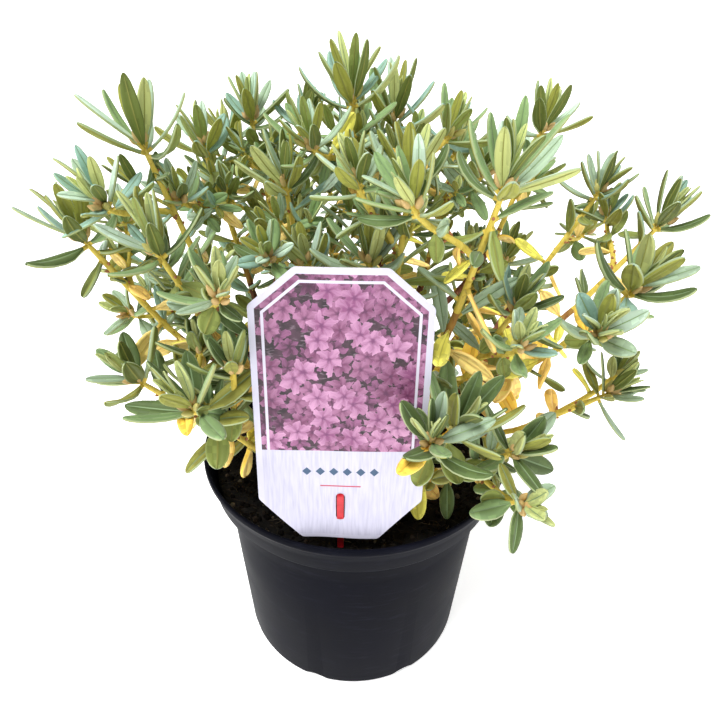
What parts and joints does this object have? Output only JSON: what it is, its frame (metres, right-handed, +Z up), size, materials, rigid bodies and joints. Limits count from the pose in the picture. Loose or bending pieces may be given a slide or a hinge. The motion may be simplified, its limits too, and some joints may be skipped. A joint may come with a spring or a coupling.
{
  "type": "potted rhododendron",
  "caption": "Bushy evergreen shrub with rosettes of narrow grey-green leaves, in a round black nursery pot of peat soil, with an unlettered picture label on a red stick.",
  "frame": {"origin": "middle of the pot's flat underside", "axes": "+Z up along the pot's axis, -Y to the front where the label stands, +X to the right seen from the front"},
  "size_m": [0.3493, 0.2711, 0.3683],
  "materials": {
    "black_plastic": "satin black polypropylene, lightly scuffed",
    "peat": "dark damp peat with short fibres",
    "card": "printed plastic label, white edge and a mauve blossom design with no lettering",
    "red_plastic": "glossy red plastic",
    "bark": "thin red-brown bark, yellow-green on young growth",
    "foliage": "grey-green leaves with a waxy bloom, some old ones yellow"
  },
  "bodies": {
    "root": {"bough_back": "bark", "bough_back_left": "bark", "bough_back_left_high": "bark", "bough_back_left_low": "bark", "bough_back_low": "bark", "bough_front": "bark", "bough_front_corner_low": "bark", "bough_front_left_low": "bark", "bough_front_middle": "bark", "bough_front_right_low": "bark", "bough_inner_left": "bark", "bough_left": "bark", "bough_left_back_high": "bark", "bough_left_front": "bark", "bough_left_high": "bark", "bough_left_low": "bark", "bough_right": "bark", "bough_right_back": "bark", "bough_right_back_high": "bark", "bough_right_back_low": "bark", "bough_right_far": "bark", "bough_right_front": "bark", "bough_right_low": "bark", "bough_right_middle": "bark", "bough_right_near": "bark", "bough_top": "bark", "bough_top_right": "bark", "foliage_back": "foliage", "foliage_back_left": "foliage", "foliage_back_left_high": "foliage", "foliage_back_left_low": "foliage", "foliage_back_low": "foliage", "foliage_front": "foliage", "foliage_front_corner_low": "foliage", "foliage_front_left_low": "foliage", "foliage_front_middle": "foliage", "foliage_front_right_low": "foliage", "foliage_inner_left": "foliage", "foliage_left": "foliage", "foliage_left_back_high": "foliage", "foliage_left_front": "foliage", "foliage_left_high": "foliage", "foliage_left_low": "foliage", "foliage_right": "foliage", "foliage_right_back": "foliage", "foliage_right_back_high": "foliage", "foliage_right_back_low": "foliage", "foliage_right_far": "foliage", "foliage_right_front": "foliage", "foliage_right_low": "foliage", "foliage_right_middle": "foliage", "foliage_right_near": "foliage", "foliage_top": "foliage", "foliage_top_right": "foliage", "label_card": "card", "label_stick": "red_plastic", "pot": "black_plastic", "soil": "peat", "trunk": "bark"}
  },
  "joints": []
}
